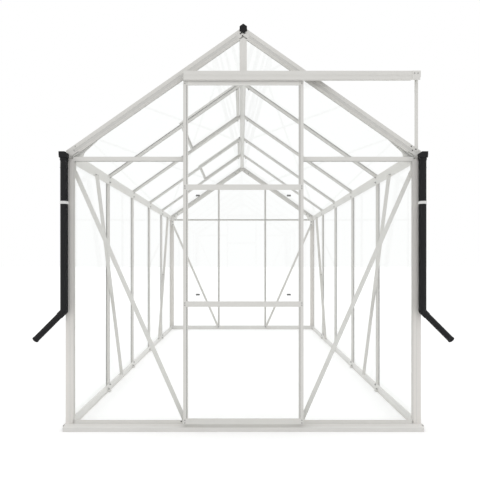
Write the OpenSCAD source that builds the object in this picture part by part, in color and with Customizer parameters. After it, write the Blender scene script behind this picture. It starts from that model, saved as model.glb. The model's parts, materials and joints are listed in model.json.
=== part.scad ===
// Aluminium glasshouse: three bays across the gable, five along the side, a
// sliding door in the front gable, two closed roof vents and two downpipes.
// All sizes are millimetres. X runs across, Y runs from the door to the back,
// Z is up, and the origin is on the ground under the middle of the whole.

/* [Overall] */
// Grid spacing between glazing bars
bay = 622; // [520:2:760]
// Number of bays along each side
bays_long = 5; // [3:1:6]
// Height of the roof's outer face at the wall's outer face
eave_h = 1505; // [1300:5:1850]
// Roof pitch in degrees
pitch = 35; // [28:1:40]

/* [Glazing bars] */
// Width of a bar's inner flange
bar_w = 25; // [20:0.5:32]
// Thickness of the flange that the glass lies on
seat_t = 3; // [2:0.5:4]
// Depth of the bolt channel behind the glass
bar_back = 14; // [12:0.5:24]
// Width of the outer cap strip of a bar
cap_w = 22; // [16:0.5:28]
// Thickness of the outer cap strip
cap_t = 2; // [1:0.5:3]
// Width across the bolt channel
channel_w = 16; // [12:0.5:18]
// Wall of the bolt channel
channel_wall = 2; // [1.5:0.5:3]
// Slot between the bolt channel's lips
slot_w = 7; // [6:0.5:8]
// Thickness of the web between two panes
web_t = 3; // [2:0.5:4]
// Width of the two door posts, flange and cap
post_w = 17; // [16.5:0.5:30]
// Face width of a horizontal rail in the gable
rail_w = 27; // [22:0.5:36]
// Face width of the bar that hangs from the front ridge
hanger_w = 38; // [28:1:46]

/* [Glass] */
// Glass thickness
glass_t = 4; // [3:0.5:5]
// Bed of sealant on each face of a pane
bed = 0.3; // [0.1:0.05:0.6]
// From a grid line to the edge of the glass
glass_gap = 6; // [4:0.5:8]

/* [Corners] */
// From the outer face to the first grid line
edge = 29; // [27:0.5:34]
// Reach of a corner post or gable rafter from its outer face
corner_reach = 48; // [44:0.5:60]
// Wall of the hollow corner section
corner_wall = 2; // [1.5:0.5:3]

/* [Sill] */
// Height of the sill's deck, on which posts and panes stand
deck_h = 28; // [22:1:40]
// Height of the inner upstand of the side and back sills
upstand_h = 49; // [40:1:70]
// Height of the front sill's inner upstand
front_upstand_h = 36; // [30:1:40]
// Thickness of the inner upstand and of the eave's inner wall
upstand_t = 2.5; // [2:0.5:5]
// Wall of the sill section
sill_t = 2.5; // [1.5:0.5:4]
// Width of the flange on the ground, inside the upstand
ground_flange = 6.5; // [5:0.5:30]
// How far the front sill's step reaches ahead of the gable
step_out = 38; // [30:1:50]
// Height of the front sill's front face
step_h = 21; // [14:1:24]
// How far the side and back sills reach outside the walls
drip_out = 15; // [8:1:24]
// Height of the bottom rail's lip above the deck
bottom_lip = 20.5; // [14:0.5:26]

/* [Eave gutter] */
// Depth of the gutter's inner wall below the trough's underside
wall_drop = 15.5; // [12:0.5:30]
// From the roof's outer face down to the trough's underside
trough_drop = 43; // [40:1:60]
// How far the trough reaches outside the wall's outer face
trough_out = 16; // [14:1:40]
// Height of the trough's outer rim above its underside at the wall
trough_h = 28; // [20:1:34]
// Rise of the trough's floor from the wall to its outer edge
trough_rise = 12; // [4:1:14]
// Wall of the gutter section
gutter_t = 2.5; // [1.5:0.5:4]
// Horizontal reach of the shelf that the roof bars lie on
shelf_reach = 20; // [14:1:22]
// How far a roof pane runs past the wall's outer face
roof_overrun = 6; // [2:1:12]

/* [Ridge] */
// Width of the ridge beam
ridge_w = 36; // [32:1:50]
// Overall depth of the ridge beam
ridge_d = 46; // [42:1:60]
// Wall of the ridge beam
ridge_t = 2.5; // [1.5:0.5:4]
// Rise of the ridge beam above the roof's outer face
ridge_rise = 10.5; // [8:0.5:16]
// Reach of the ridge's cover strip past the beam's side
ridge_wing = 3; // [3:1:20]
// Thickness of the black end caps
end_cap_t = 6; // [3:0.5:10]

/* [Gable details] */
// From the eave down to the middle of the front gable's eave rails
front_rail_drop = 43; // [30:1:80]
// From the eave down to the middle of the back gable's rail
rear_rail_drop = 41; // [30:1:80]
// Face width of the back gable's rail
rear_rail_w = 21; // [19:0.5:27]
// Reach of an eave corner plate along the gable's rail
gusset_reach = 40; // [20:2:70]
// Radius of an eave corner plate's hollow edge
gusset_curve = 49; // [20:1:60]
// Thickness of the corner plates
gusset_t = 2.5; // [1.5:0.5:3]

/* [Braces] */
// Face width of a diagonal brace
brace_w = 24; // [14:1:26]
// Depth of a brace's edge leg
brace_leg = 22; // [6:1:26]
// From the middle of the gable's eave rail down to the head of a brace
brace_head = 62; // [55:1:90]
// Thickness of a brace
brace_t = 2; // [1.5:0.5:3]

/* [Door] */
// How far the door reaches past the grid line at each side
door_lap = 9.5; // [6:0.5:20]
// Height of the door's underside
door_z = 40; // [36:1:60]
// From the runner's top down to the door's top edge
door_drop = 37; // [34:1:44]
// Face width of a door stile's box
stile_box = 18; // [14:0.5:26]
// Width of the stile's inner glazing lip
stile_lip = 7; // [4:0.5:10]
// Depth of the door frame, front to back
door_t = 25; // [20:1:32]
// Gap between the door and the runner's back plate
door_clear = 5.5; // [5:0.5:9]
// Face height of a door rail
door_rail = 29; // [24:1:44]
// Height of the lower middle rail's underside
low_rail_z = 665; // [500:5:900]
// Height of the upper middle rail's underside
high_rail_z = 1288; // [1000:2:1500]

/* [Door runner] */
// Rise of the runner's top above the eave
runner_rise = 408; // [360:1:440]
// Face height of the runner
runner_h = 47; // [38:1:60]
// From the right wall's outer face in to the runner's end
runner_in = 29; // [20:1:34]
// How far the runner's other end reaches past the door post's grid line
runner_past = 5; // [0:1:14]
// How far the runner stands ahead of the gable
runner_out = 55; // [52:1:70]
// Sheet thickness of the runner
runner_t = 2.5; // [1.5:0.5:3.5]
// From the runner's top down to the ledge that the rollers run on
ledge_drop = 21.5; // [20:0.5:24]
// Length of the end sleeve on the runner
sleeve = 44; // [30:1:60]
// Radius of a door roller
roller_r = 6.5; // [5:0.5:7]
// How far the runner's end sleeve stands past its section
plate_over = 2; // [1:0.5:4]
// From the wall's outer face in to the strut
strut_in = 17; // [14:1:30]
// Width of the strut under the runner's free end
strut_w = 18; // [14:1:24]
// Thickness of the strut and of the header's front pad
strut_t = 3; // [2:0.5:5]

/* [Roof vents] */
// Length of a vent down the slope
vent_len = 535; // [420:5:600]
// Depth of a vent's frame
vent_d = 13; // [10:0.5:20]
// Face width of a vent's frame
vent_frame = 20; // [14:1:30]

/* [Rainwater pipes] */
// Outer diameter of a downpipe
pipe_d = 39; // [34:1:48]
// Outer diameter of its slanted spout
spout_d = 33; // [26:1:38]
// Wall of a pipe
pipe_wall = 2.5; // [1.5:0.5:4]
// Height of the elbow's middle
elbow_z = 642; // [500:1:900]
// Length of the slanted spout
spout_len = 219; // [120:1:300]
// Height of the pipe clip
clip_z = 1220; // [800:5:1350]

/* [Hidden] */
$fn = 48;

powder = "gainsboro";
black_plastic = "dimgray";
white_plastic = "white";
clear_glass = "lightcyan";

// Derived sizes of the whole
bays_across = 3;
half_w = bays_across * bay / 2 + edge;
run = bays_long * bay + 2 * edge;
y_mid = (run + max(end_cap_t, drip_out) - runner_out - plate_over) / 2;
apex_h = eave_h + half_w * tan(pitch);
cap_out = bed * 2 + glass_t + cap_t;
corner_box = cap_out + bar_back;
corner_cap = edge + cap_w / 2;
post_x = bay / 2;
inner_face = corner_box + upstand_t;
fit = 0.05;
slope_len = half_w / cos(pitch);
big = 4 * half_w;

// Eave and ridge levels
front_rail_z = eave_h - front_rail_drop;
rear_rail_z = eave_h - rear_rail_drop;
trough_z = eave_h - trough_drop;
ridge_top = apex_h + ridge_rise;
ridge_side = ridge_w / 2;
vent_bays = [2, bays_long - 1];
vent_gap = 2;
vent_half = (bay + cap_w) / 2 - vent_gap / 2;
vent_top = (ridge_side + ridge_wing + vent_gap) / cos(pitch);

// Door and runner places
door_w = bay + 2 * door_lap;
runner_top = eave_h + runner_rise;
door_top = runner_top - door_drop;
runner_right = half_w - runner_in;
runner_left = post_x + runner_past;
door_back = -(strut_t + runner_t + door_clear);
door_front = door_back - door_t;
ledge_top = runner_top - ledge_drop;
roller_z = ledge_top + roller_r + bed;
pin_r = 3;
pin_gap = 3;
header_z = runner_top - runner_h / 2;
door_half = door_w / 2;
rail_set = 1;
lip_t = 2;
pane_front = door_front + rail_set + lip_t;
door_pane_y = pane_front + bed + glass_t / 2;
pane_back = pane_front + glass_t + 2 * bed;

// Downpipe axis and the hopper that it hangs from
pipe_x = half_w - 5;
pipe_y = -pipe_d / 2 - 9;
hopper_w = 3;
hopper_low = trough_z - 4;
hopper_top = trough_z + trough_h;
hopper_front = pipe_y - pipe_d / 2 - 2;
rim_x = half_w + trough_out;
outlet_x = half_w - 18;
outlet_in = 21;

// Height of a plane at distance v outside the roof's glass seat, at half width x
function roof_z(x, v) = apex_h - x * tan(pitch) - (cap_out - v) / cos(pitch);
// Height of the line that lies a below the roof's outer face
function under_z(x, a) = roof_z(x, cap_out - a);
// Position of grid line i along the side
function grid_y(i) = edge + i * bay;
// A right-hand half outline with its mirror image
function both(half) = concat(half,
    [for (i = [len(half) - 1:-1:0]) [-half[i][0], half[i][1]]]);

// ---- sections ---------------------------------------------------------

// Glazing bar: u across, v outward, with the glass seat at v = 0
module bar_section(flange = bar_w, cap = cap_w) {
    polygon(both([[cap / 2, cap_out], [cap / 2, cap_out - cap_t],
        [web_t / 2, cap_out - cap_t], [web_t / 2, 0], [flange / 2, 0],
        [flange / 2, -seat_t], [channel_w / 2, -seat_t],
        [channel_w / 2, -bar_back], [slot_w / 2, -bar_back],
        [slot_w / 2, channel_wall - bar_back],
        [channel_w / 2 - channel_wall, channel_wall - bar_back],
        [channel_w / 2 - channel_wall, -seat_t]]));
}

// Corner section: a and b are measured inward from the two outer faces
module corner_section() {
    seat_in = cap_out + seat_t;
    leg = [[corner_cap, 0], [corner_cap, cap_t], [corner_box, cap_t],
        [corner_box, cap_out], [corner_reach, cap_out], [corner_reach, seat_in],
        [corner_box, seat_in]];
    difference() {
        polygon(concat([[0, 0]], leg, [[corner_box, corner_box]],
            [for (i = [len(leg) - 1:-1:0]) [leg[i][1], leg[i][0]]]));
        translate([corner_wall, corner_wall])
            square(corner_box - 2 * corner_wall);
    }
}

// Sill section: distance inward from the outer face, height
module sill_section(out, upstand) {
    polygon([[-out, 0], [-out, step_h], [0, deck_h], [corner_box, deck_h],
        [corner_box, upstand], [inner_face, upstand], [inner_face, sill_t],
        [inner_face + ground_flange, sill_t], [inner_face + ground_flange, 0],
        [corner_box + sill_t / 2, 0], [corner_box + sill_t / 2, deck_h - sill_t],
        [0, deck_h - sill_t], [sill_t - out, step_h - sill_t], [sill_t - out, 0]]);
}

module gutter_section() {
    wall_out = half_w - corner_box;
    wall_in = half_w - inner_face;
    lip_x = half_w + bed * 2;
    lip_h = 3;
    rim_in = 6;
    rim_t = 2;
    shelf_x = wall_in + shelf_reach;
    shelf = -seat_t - fit;
    polygon([[wall_in, trough_z - wall_drop], [wall_out, trough_z - wall_drop],
        [wall_out, trough_z], [lip_x, trough_z], [lip_x, trough_z - lip_h],
        [lip_x + cap_t, trough_z - lip_h], [lip_x + cap_t, trough_z],
        [rim_x, trough_z + trough_rise], [rim_x, trough_z + trough_h],
        [rim_x - rim_in, trough_z + trough_h],
        [rim_x - rim_in, trough_z + trough_h - rim_t],
        [rim_x - gutter_t, trough_z + trough_h - rim_t],
        [rim_x - gutter_t, trough_z + trough_rise + gutter_t],
        [lip_x, trough_z + gutter_t], [wall_out, trough_z + gutter_t],
        [wall_out, roof_z(wall_out, shelf - seat_t)],
        [shelf_x, roof_z(shelf_x, shelf - seat_t)],
        [shelf_x, roof_z(shelf_x, shelf)], [wall_in, roof_z(wall_in, shelf)]]);
}

module ridge_outline(inset = 0) {
    side = ridge_side - inset;
    rise = ridge_side * tan(pitch);
    polygon([[0, ridge_top - inset / cos(pitch)],
        [side, ridge_top - inset / cos(pitch) - side * tan(pitch)],
        [side, ridge_top - ridge_d + rise + inset / 2],
        [0, ridge_top - ridge_d + inset], [-side, ridge_top - ridge_d + rise + inset / 2],
        [-side, ridge_top - inset / cos(pitch) - side * tan(pitch)]]);
}

module ridge_section() {
    difference() {
        union() {
            ridge_outline();
            for (flip = [0, 1]) mirror([flip, 0])
                polygon([for (p = [[ridge_side - 1, cap_out],
                    [ridge_side + ridge_wing, cap_out],
                    [ridge_side + ridge_wing, cap_out + cap_t],
                    [ridge_side - 1, cap_out + cap_t]]) [p[0], roof_z(p[0], p[1])]]);
        }
        ridge_outline(ridge_t);
    }
}

// Outline of a gable, a inward from the roof's outer face and from the walls
module gable_outline(a, low, side = undef) {
    x = is_undef(side) ? half_w - a : side;
    polygon([[-x, low], [x, low], [x, under_z(x, a)], [0, under_z(0, a)],
        [-x, under_z(x, a)]]);
}

// ---- placing ----------------------------------------------------------

module framed() {
    translate([0, -y_mid, 0]) children();
}

module left_hand() {
    mirror([1, 0, 0]) children();
}

module back_to_front() {
    translate([0, run, 0]) mirror([0, 1, 0]) children();
}

// Runs a profile in the X-Z plane from y0 to y1
module along_y(y0, y1) {
    translate([0, y1, 0]) rotate([90, 0, 0]) linear_extrude(y1 - y0) children();
}

// Runs a Y-Z profile, drawn as x = Y and y = Z, from x0 to x1
module along_x(x0, x1) {
    multmatrix([[0, 0, 1, x0], [1, 0, 0, 0], [0, 1, 0, 0]])
        linear_extrude(x1 - x0) children();
}

// Right roof slope: local x along the house, y outward, z down the slope
module on_slope() {
    multmatrix([[0, sin(pitch), cos(pitch), 0], [1, 0, 0, 0],
        [0, cos(pitch), -sin(pitch), roof_z(0, 0)]]) children();
}

// Right wall: local x towards the back, y outward, z up from the ground
module on_wall() {
    multmatrix([[0, 1, 0, half_w - cap_out], [1, 0, 0, 0], [0, 0, 1, 0]]) children();
}

// Front gable: local x across, y outward, z up from the ground
module on_gable() {
    multmatrix([[1, 0, 0, 0], [0, -1, 0, cap_out], [0, 0, 1, 0]]) children();
}

// A horizontal gable rail from x0 to x1 whose cap runs on to x_cap
module gable_rail(x0, x1, x_cap, z, width) {
    multmatrix([[0, 0, 1, x0], [0, -1, 0, cap_out], [1, 0, 0, z]]) {
        linear_extrude(x1 - x0) bar_section(width);
        linear_extrude(x_cap - x0) translate([-cap_w / 2, cap_out - cap_t])
            square([cap_w, cap_t]);
    }
}

// What lies on the gutter's shelf, from y0 on: removed from bars and rafters
module over_gutter(y0 = 0) {
    intersection() {
        translate([half_w - inner_face, y0, 0]) cube([big, run, big]);
        on_slope() translate([y0, -big - seat_t, 0]) cube([run, big, big]);
    }
}

// A flat brace with an edge leg between two points of an upright plane,
// drawn in local x and z with its back on y = 0 and the leg towards +y
module brace(from, to) {
    d = to - from;
    length = norm(d);
    translate([from[0], 0, from[1]]) rotate([0, -atan2(d[1], d[0]), 0]) {
        translate([0, 0, -brace_w / 2]) cube([length, brace_t, brace_w]);
        translate([0, brace_t, -brace_w / 2]) cube([length, brace_leg, brace_t]);
    }
}

// Round spacer under a brace, from y0 to y1
module spacer(x, z, y0, y1) {
    spacer_r = 8;
    translate([x, y1, z]) rotate([90, 0, 0]) cylinder(r = spacer_r, h = y1 - y0);
}

// ---- sills ------------------------------------------------------------

// Leaves room at a gable sill's ends for the side sills' upstands
module end_notches() {
    for (s = [-1, 1])
        translate([s * (half_w - inner_face + big / 2), corner_box + big / 2, 0])
            cube(big, center = true);
}

module front_sill() {
    color(powder) framed() difference() {
        along_x(-half_w, half_w) sill_section(step_out, front_upstand_h);
        end_notches();
    }
}

module rear_sill() {
    color(powder) framed() back_to_front() difference() {
        along_x(-half_w, half_w) sill_section(drip_out, upstand_h);
        end_notches();
    }
}

// The inner part stops at the gable sills and the drip runs on past their ends
module side_sill() {
    inner_ends = upstand_t + ground_flange;
    translate([half_w, 0, 0]) mirror([1, 0, 0]) difference() {
        along_y(0, run) sill_section(drip_out, upstand_h);
        for (y = [-1, run - corner_box])
            translate([0, y, -1]) cube([big, corner_box + 1, big]);
        for (y = [corner_box, run - corner_box])
            translate([inner_face, y - inner_ends, -1])
                cube([big, 2 * inner_ends, big]);
    }
}

module left_sill() {
    color(powder) framed() left_hand() side_sill();
}

module right_sill() {
    color(powder) framed() side_sill();
}

// ---- corner posts, gutters and ridge ------------------------------------

module corner_post() {
    translate([half_w, 0, deck_h]) mirror([1, 0, 0])
        linear_extrude(trough_z - deck_h) corner_section();
}

module front_left_post() {
    color(powder) framed() left_hand() corner_post();
}

module front_right_post() {
    color(powder) framed() corner_post();
}

module rear_left_post() {
    color(powder) framed() left_hand() back_to_front() corner_post();
}

module rear_right_post() {
    color(powder) framed() back_to_front() corner_post();
}

// It lies between the rafters' front strips, and its inner wall stops at the posts
module gutter() {
    difference() {
        along_y(cap_t, run - cap_t) gutter_section();
        for (y = [0, run])
            translate([half_w - inner_face - 1, y - corner_box, trough_z - wall_drop - 1])
                cube([upstand_t + 2, 2 * corner_box, wall_drop + 1]);
    }
}

module left_gutter() {
    color(powder) framed() left_hand() gutter();
}

module right_gutter() {
    color(powder) framed() gutter();
}

module ridge_bar() {
    color(powder) framed() along_y(0, run) ridge_section();
}

// ---- gable rafters ------------------------------------------------------

module rafter() {
    difference() {
        intersection() {
            multmatrix([[-sin(pitch), 0, cos(pitch), 0], [0, 1, 0, 0],
                [-cos(pitch), 0, -sin(pitch), apex_h]])
                translate([0, 0, -corner_reach]) linear_extrude(slope_len + 2 * corner_reach)
                    corner_section();
            translate([0, 0, trough_z]) cube([half_w, corner_reach, big]);
        }
        over_gutter(cap_t);
        along_y(-1, corner_reach + 1) ridge_outline();
    }
}

module front_left_rafter() {
    color(powder) framed() left_hand() rafter();
}

module front_right_rafter() {
    color(powder) framed() rafter();
}

module rear_left_rafter() {
    color(powder) framed() left_hand() back_to_front() rafter();
}

module rear_right_rafter() {
    color(powder) framed() back_to_front() rafter();
}

// ---- glazing bars -------------------------------------------------------

module wall_bars() {
    for (i = [1:bays_long - 1])
        on_wall() translate([grid_y(i), 0, deck_h])
            linear_extrude(trough_z - deck_h) bar_section();
}

module left_wall_bars() {
    color(powder) framed() left_hand() wall_bars();
}

module right_wall_bars() {
    color(powder) framed() wall_bars();
}

module roof_bars() {
    for (i = [1:bays_long - 1]) difference() {
        intersection() {
            on_slope() translate([grid_y(i), 0, 0]) linear_extrude(slope_len)
                bar_section();
            translate([ridge_side, 0, 0]) cube([half_w - cap_t - ridge_side, run, big]);
        }
        over_gutter();
    }
}

module left_roof_bars() {
    color(powder) framed() left_hand() roof_bars();
}

module right_roof_bars() {
    color(powder) framed() roof_bars();
}

// ---- gable framing ------------------------------------------------------

module gable_bars(flange, cap) {
    intersection() {
        for (s = [-1, 1]) translate([s * post_x, 0, 0]) on_gable()
            translate([0, 0, deck_h]) linear_extrude(apex_h - deck_h)
                bar_section(flange, cap);
        along_y(0, corner_reach) gable_outline(corner_reach, 0);
    }
}

module door_posts() {
    color(powder) framed() gable_bars(post_w, post_w);
}

module door_header() {
    x = post_x - post_w / 2;
    color(powder) framed() {
        intersection() {
            gable_rail(-x, x, x, header_z, rail_w);
            along_y(0, corner_reach) gable_outline(corner_reach, 0);
        }
        translate([-post_x - post_w / 2, -strut_t, header_z - cap_w / 2])
            cube([2 * post_x + post_w, strut_t, cap_w]);
    }
}

module header_hanger() {
    low = header_z + rail_w / 2;
    color(powder) framed() intersection() {
        on_gable() translate([0, 0, low]) linear_extrude(apex_h - low)
            bar_section(hanger_w, hanger_w);
        along_y(0, corner_reach) gable_outline(corner_reach, 0);
    }
}

// The inner lip is the lower one
module bottom_rail(x0, x1) {
    lip_h = deck_h + bottom_lip;
    lip_drop = 5;
    along_x(x0, x1) polygon([[0, deck_h], [0, lip_h], [cap_t, lip_h],
        [cap_t, deck_h + cap_t], [cap_out, deck_h + cap_t], [cap_out, lip_h - lip_drop],
        [cap_out + seat_t, lip_h - lip_drop], [cap_out + seat_t, deck_h + cap_t],
        [corner_box, deck_h + cap_t], [corner_box, deck_h]]);
}

module front_gable_rails() {
    x0 = post_x + post_w / 2;
    x1 = half_w - corner_reach;
    color(powder) framed() for (flip = [0, 1]) mirror([flip, 0, 0]) {
        gable_rail(x0, x1, half_w - corner_cap, front_rail_z, rail_w);
        bottom_rail(x0, x1);
    }
}

module rear_gable_bars() {
    color(powder) framed() back_to_front() gable_bars(bar_w, cap_w);
}

module rear_gable_rail() {
    x0 = post_x + bar_w / 2;
    x1 = half_w - corner_reach;
    color(powder) framed() back_to_front() {
        gable_rail(bar_w / 2 - post_x, post_x - bar_w / 2, post_x - bar_w / 2,
            rear_rail_z, rear_rail_w);
        for (flip = [0, 1]) mirror([flip, 0, 0])
            gable_rail(x0, x1, half_w - corner_cap, rear_rail_z, rear_rail_w);
    }
}

// ---- corner plates and braces --------------------------------------------

module eave_gusset() {
    low = front_rail_z - brace_head - brace_w;
    x_out = half_w - corner_box / 2;
    x_post = half_w - corner_reach;
    x_rail = x_post - gusset_reach;
    x_end = x_rail - 2 * gusset_reach;
    rail_low = front_rail_z - rail_w / 2 + 1;
    rail_high = front_rail_z + rail_w / 2;
    under = trough_z - wall_drop - 1;
    x_wall = half_w - inner_face - 1;
    inset = 5;
    translate([0, corner_box, 0]) along_y(0, gusset_t)
        polygon([[x_out, low], [x_post, low], [x_post, rail_low], [x_rail, rail_low],
            for (t = [0:11:55]) [x_rail - gusset_curve * (1 - cos(t)),
                rail_high + gusset_curve * sin(t)],
            [x_end, under_z(x_end, corner_reach - inset)], [x_end, under_z(x_end, corner_box)],
            [x_wall, under_z(x_wall, corner_box)], [x_wall, under], [x_out, under]]);
}

module eave_gussets() {
    color(powder) framed() for (flip = [0, 1]) mirror([flip, 0, 0]) {
        eave_gusset();
        back_to_front() eave_gusset();
    }
}

// A plate over the rafters' joint, with a tongue down behind the hanger
module apex_gusset(tongue) {
    x_end = 110;
    inset = 8;
    low = under_z(0, corner_reach - inset);
    translate([0, corner_box, 0]) along_y(0, gusset_t) {
        polygon(both([[0, under_z(0, corner_reach - inset)],
            [x_end, under_z(x_end, corner_reach - inset)], [x_end, under_z(x_end, corner_box)],
            [ridge_side, under_z(ridge_side, corner_box)],
            [ridge_side, ridge_top - ridge_d - 1], [0, ridge_top - ridge_d - 1]]));
        translate([-channel_w / 2, low - tongue]) square([channel_w, tongue + 1]);
    }
}

module apex_gussets() {
    color(powder) framed() {
        apex_gusset(hanger_w);
        back_to_front() apex_gusset(0);
    }
}

// From the eave corner plate down to the sill's upstand
module gable_brace() {
    top = [half_w - corner_cap, front_rail_z - brace_head];
    foot = [post_x + brace_w / 4, front_upstand_h - brace_w / 4];
    translate([0, corner_box + gusset_t, 0]) brace(foot, top);
}

module front_braces() {
    color(powder) framed() for (flip = [0, 1]) mirror([flip, 0, 0]) gable_brace();
}

module rear_braces() {
    color(powder) framed() back_to_front()
        for (flip = [0, 1]) mirror([flip, 0, 0]) gable_brace();
}

// From the gutter's inner wall, head bays from the corner, down to the sill
module wall_brace() {
    head = 0.563;
    foot = 1.4;
    top = [grid_y(head), trough_z - wall_drop + brace_w / 2];
    low = [grid_y(foot), upstand_h - brace_w / 4];
    mid = (top + low) / 2;
    multmatrix([[0, -1, 0, half_w - inner_face], [1, 0, 0, 0], [0, 0, 1, 0]]) {
        brace(top, low);
        spacer(mid[0], mid[1], -upstand_t, 0);
    }
}

module wall_braces() {
    wall_brace();
    back_to_front() wall_brace();
}

module left_wall_braces() {
    color(powder) framed() left_hand() wall_braces();
}

module right_wall_braces() {
    color(powder) framed() wall_braces();
}

// ---- ridge end caps, anchor tabs ------------------------------------------

module ridge_caps() {
    cap_over = 2;
    color(black_plastic) framed() for (y = [-end_cap_t, run])
        along_y(y, y + end_cap_t) ridge_outline(-cap_over);
}

module anchor_tabs() {
    inner = half_w - inner_face;
    tab_w = 30;
    tab_t = 3;
    tab_reach = 20;
    tab_ahead = 50;
    color(powder) framed() for (flip = [0, 1]) mirror([flip, 0, 0])
        for (i = [1:bays_long - 1])
            translate([inner - tab_t, grid_y(i) - tab_ahead, sill_t]) {
                cube([tab_t, tab_w, deck_h]);
                translate([tab_t - tab_reach, 0, 0]) cube([tab_reach, tab_w, tab_t]);
            }
}

// ---- runner ---------------------------------------------------------------

module door_runner() {
    back = -strut_t;
    low = runner_top - runner_h;
    ledge_reach = 16;
    ledge_out = back - ledge_reach;
    color(powder) framed() along_x(-runner_left, runner_right)
        polygon([[back, ledge_top - runner_t], [back, runner_top],
            [-runner_out, runner_top], [-runner_out, low], [runner_t - runner_out, low],
            [runner_t - runner_out, runner_top - runner_t],
            [back - runner_t, runner_top - runner_t], [back - runner_t, ledge_top],
            [ledge_out, ledge_top], [ledge_out, ledge_top - runner_t]]);
}

// Strut from the runner's free end down to the rafter's foot, with an end sleeve
module runner_strut() {
    x0 = half_w - strut_in - strut_w;
    low = runner_top - runner_h - plate_over;
    cut_in = 10;
    cut_up = 16;
    end = runner_right + runner_t;
    color(powder) framed() {
        translate([x0, -strut_t, under_z(x0, corner_reach / 2)])
            cube([strut_w, strut_t, runner_top - under_z(x0, corner_reach / 2)]);
        along_y(-runner_out - plate_over, -runner_out)
            polygon([[end - sleeve, low], [end - cut_in, low], [end, low + cut_up],
                [end, runner_top], [end - sleeve, runner_top]]);
        translate([runner_right, -runner_out, low + cut_up])
            cube([runner_t, runner_out - strut_t, runner_top - low - cut_up]);
    }
}

// ---- roof vents -----------------------------------------------------------

module vent(i) {
    mid = grid_y(i - 0.5);
    left_hand() on_slope() translate([mid - vent_half, cap_out, vent_top]) difference() {
        cube([2 * vent_half, vent_d, vent_len - vent_top]);
        translate([vent_frame, -1, vent_frame])
            cube([2 * vent_half - 2 * vent_frame, vent_d + 2,
                vent_len - vent_top - 2 * vent_frame]);
        translate([vent_frame / 2, vent_d / 2 - glass_t / 2 - bed, vent_frame / 2])
            cube([2 * vent_half - vent_frame, glass_t + 2 * bed,
                vent_len - vent_top - vent_frame]);
    }
}

module front_vent() {
    color(powder) framed() vent(vent_bays[0]);
}

module rear_vent() {
    color(powder) framed() vent(vent_bays[1]);
}

module vent_glass() {
    in = vent_frame / 2 + bed;
    color(clear_glass) framed() for (i = vent_bays)
        left_hand() on_slope()
            translate([grid_y(i - 0.5) - vent_half + in,
                cap_out + vent_d / 2 - glass_t / 2, vent_top + in])
                cube([2 * (vent_half - in), glass_t, vent_len - vent_top - 2 * in]);
}

module vent_transoms() {
    x = bay - bar_w;
    color(powder) framed() for (i = vent_bays)
        left_hand() on_slope() translate([grid_y(i - 0.5) - x / 2, 0, vent_len - bar_w])
            multmatrix([[0, 0, 1, 0], [0, 1, 0, 0], [-1, 0, 0, bar_w / 2]])
                linear_extrude(x) bar_section();
}

// ---- rainwater goods --------------------------------------------------------

module downpipe() {
    r = pipe_d / 2;
    collar_over = 4;
    collar_len = 0.9 * pipe_d;
    translate([pipe_x, pipe_y, 0]) difference() {
        union() {
            translate([0, 0, elbow_z]) cylinder(r = r, h = hopper_low - elbow_z);
            translate([0, 0, elbow_z]) sphere(r = r);
            translate([0, 0, elbow_z]) rotate([0, 135, 0])
                cylinder(d = spout_d, h = spout_len);
            translate([0, 0, elbow_z]) rotate([0, 135, 0])
                cylinder(d = spout_d + collar_over, h = collar_len);
        }
        translate([0, 0, elbow_z]) cylinder(r = r - pipe_wall, h = hopper_low);
        translate([0, 0, elbow_z]) rotate([0, 135, 0])
            cylinder(r = spout_d / 2 - pipe_wall, h = spout_len + 1);
    }
}

module left_downpipe() {
    color(black_plastic) framed() left_hand() downpipe();
}

module right_downpipe() {
    color(black_plastic) framed() downpipe();
}

// A ring round each pipe with a foot on the corner post
module pipe_clips() {
    ring_h = 15;
    ring_t = 2;
    pipe_fit = 0.2;
    foot_w = 12;
    foot_in = 10;
    color(white_plastic) framed() for (flip = [0, 1]) mirror([flip, 0, 0])
        translate([pipe_x, 0, clip_z - ring_h / 2]) difference() {
            union() {
                translate([0, pipe_y, 0]) cylinder(r = pipe_d / 2 + ring_t, h = ring_h);
                translate([-foot_in, pipe_y, 0]) cube([foot_w, -pipe_y, ring_h]);
            }
            translate([0, pipe_y, -1])
                cylinder(r = pipe_d / 2 + pipe_fit, h = ring_h + 2);
        }
}

// Hopper: its outlines from the front, from above and from the side, cut together
module hopper_shape(w, top, back) {
    r = pipe_d / 2 - w;
    slant = 16;
    front = hopper_front + w;
    inner = outlet_x + w - outlet_in;
    intersection() {
        along_y(front, back) polygon([[pipe_x - r, hopper_low], [pipe_x + r, hopper_low],
            [rim_x - w, hopper_low + slant], [rim_x - w, top], [half_w - slant + w, top],
            [inner, hopper_top - slant + w / 2]]);
        linear_extrude(top) polygon([[inner, front], [rim_x - w, front], [rim_x - w, back],
            [outlet_x + w, back], [outlet_x + w, -cap_t]]);
        along_x(inner, rim_x) polygon([[front, hopper_low], [pipe_y + r, hopper_low],
            [-cap_t, hopper_low + slant + w], [back, hopper_low + slant + w], [back, top],
            [front, top]]);
    }
}

// End of a gutter, closed by a plate that also fills the rafter strip's thickness
module gutter_plate() {
    plate_t = 3;
    chamfer = [6, 4];
    notch = 10;
    along_y(-plate_t, 0) polygon([[outlet_x + notch, trough_z], [rim_x, trough_z],
        [rim_x, hopper_top], [outlet_x + chamfer[0], hopper_top],
        [outlet_x, hopper_top - chamfer[1]], [outlet_x, trough_z + 2 * notch],
        [outlet_x + notch, trough_z + notch]]);
    along_y(0, cap_t) translate([half_w, trough_z]) square([trough_out, trough_h]);
}

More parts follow.
